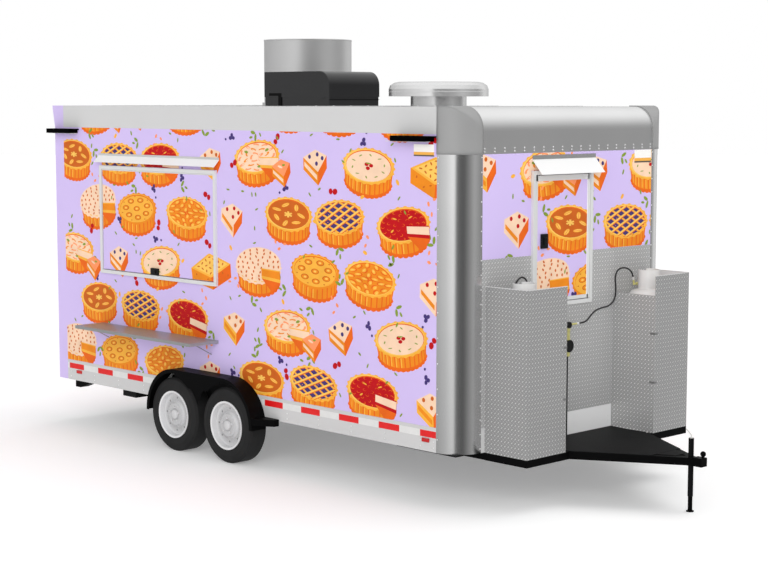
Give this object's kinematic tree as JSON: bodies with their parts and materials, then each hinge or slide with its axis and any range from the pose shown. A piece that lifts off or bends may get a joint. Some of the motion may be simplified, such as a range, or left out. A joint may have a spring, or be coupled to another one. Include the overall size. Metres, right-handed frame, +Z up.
{
  "type": "food concession trailer",
  "caption": "Towed tandem-axle kitchen trailer with a wrapped box body, serving hatch and shelf, gas cages on an A-frame tongue, and a fan, cooler and vent on the roof.",
  "frame": {"origin": "on the ground, at the centre of the tongue jack's foot", "axes": "+X forward to the hitch, +Y to the trailer's left (street side), +Z up; the serving hatch is on -Y"},
  "size_m": [6.768, 3.07, 3.72],
  "materials": {
    "wrap": "gloss",
    "silver": "polished",
    "white_paint": "gloss",
    "tread_plate": "satin",
    "black_steel": "satin",
    "black_plastic": "gloss",
    "tyre_rubber": "matte",
    "rim_paint": "gloss",
    "spun_steel": "brushed",
    "brass": "satin",
    "hose_rubber": "matte",
    "plywood": "matte",
    "red_plastic": "gloss",
    "grey_plastic": "matte",
    "galvanised": "satin"
  },
  "bodies": {
    "trailer": {"axles": "black_steel", "cage_bases": "black_steel", "cage_left": "tread_plate", "cage_right": "tread_plate", "chassis": "black_steel", "corner_caps": "silver", "coupler": "black_steel", "fan_housing": "galvanised", "fenders": "black_steel", "floor_panel": "plywood", "front_hatch_frame": "white_paint", "front_posts": "silver", "front_wall": "wrap", "gas_cylinders": "spun_steel", "gas_fittings": "brass", "hose_left": "hose_rubber", "hose_right": "hose_rubber", "jack_tube": "black_steel", "leaf_springs": "black_steel", "light_bars": "black_plastic", "nose_cap": "silver", "rear_header": "white_paint", "rear_lamps": "red_plastic", "rear_posts": "wrap", "rear_wall": "wrap", "regulator": "black_plastic", "roof_cooler": "black_plastic", "roof_panel": "white_paint", "roof_vent": "white_paint", "serving_hatch_frame": "white_paint", "serving_shelf": "tread_plate", "skirts": "white_paint", "stoneguard": "tread_plate", "tongue_arms": "black_steel", "tongue_deck": "black_steel", "top_rails": "white_paint", "visors": "white_paint", "wall_left": "wrap", "wall_right": "wrap", "water_tank": "grey_plastic", "wheel_wells": "black_steel"},
    "serving_hatch": {"serving_hatch": "wrap"},
    "front_hatch": {"front_hatch": "wrap"},
    "entry_door": {"entry_door": "wrap"},
    "jack_leg": {"jack_leg": "black_steel"},
    "fan_wheel": {"fan_wheel": "galvanised"},
    "stabilizer_left": {"stabilizer_left": "black_steel"},
    "stabilizer_right": {"stabilizer_right": "black_steel"},
    "wheel_front_left": {"tyre_front_left": "tyre_rubber", "rim_front_left": "rim_paint"},
    "wheel_front_right": {"tyre_front_right": "tyre_rubber", "rim_front_right": "rim_paint"},
    "wheel_rear_left": {"tyre_rear_left": "tyre_rubber", "rim_rear_left": "rim_paint"},
    "wheel_rear_right": {"tyre_rear_right": "tyre_rubber", "rim_rear_right": "rim_paint"}
  },
  "joints": [
    {"name": "wheel_front_left_spin", "type": "hinge", "parent": "trailer", "child": "wheel_front_left", "pos_m": [-3.847, 1.289, 0.332], "axis": [0, 1, 0], "continuous": true},
    {"name": "wheel_front_right_spin", "type": "hinge", "parent": "trailer", "child": "wheel_front_right", "pos_m": [-3.847, -1.289, 0.332], "axis": [0, 1, 0], "continuous": true},
    {"name": "wheel_rear_left_spin", "type": "hinge", "parent": "trailer", "child": "wheel_rear_left", "pos_m": [-4.592, 1.289, 0.332], "axis": [0, 1, 0], "continuous": true},
    {"name": "wheel_rear_right_spin", "type": "hinge", "parent": "trailer", "child": "wheel_rear_right", "pos_m": [-4.592, -1.289, 0.332], "axis": [0, 1, 0], "continuous": true},
    {"name": "serving_hatch_lift", "type": "hinge", "parent": "trailer", "child": "serving_hatch", "pos_m": [-4.978, -1.305, 2.486], "axis": [-1, 0, 0], "range_deg": [0, 90]},
    {"name": "front_hatch_swing", "type": "hinge", "parent": "trailer", "child": "front_hatch", "pos_m": [-1.2, 0.217, 2.04], "axis": [0, 0, 1], "range_deg": [0, 95]},
    {"name": "entry_door_swing", "type": "hinge", "parent": "trailer", "child": "entry_door", "pos_m": [-6.598, 0.78, 1.62], "axis": [0, 0, -1], "range_deg": [0, 110]},
    {"name": "jack_leg_slide", "type": "slide", "parent": "trailer", "child": "jack_leg", "axis": [0, 0, 1], "range_m": [-0.15, 0.1]},
    {"name": "fan_wheel_spin", "type": "hinge", "parent": "trailer", "child": "fan_wheel", "pos_m": [-5.154, 0.7, 3.2], "axis": [0, 0, 1], "continuous": true},
    {"name": "stabilizer_left_swing", "type": "hinge", "parent": "trailer", "child": "stabilizer_left", "pos_m": [-6.325, 1.14, 0.395], "axis": [1, 0, 0], "range_deg": [0, 90]},
    {"name": "stabilizer_right_swing", "type": "hinge", "parent": "trailer", "child": "stabilizer_right", "pos_m": [-6.325, -1.14, 0.395], "axis": [-1, 0, 0], "range_deg": [0, 90]}
  ]
}
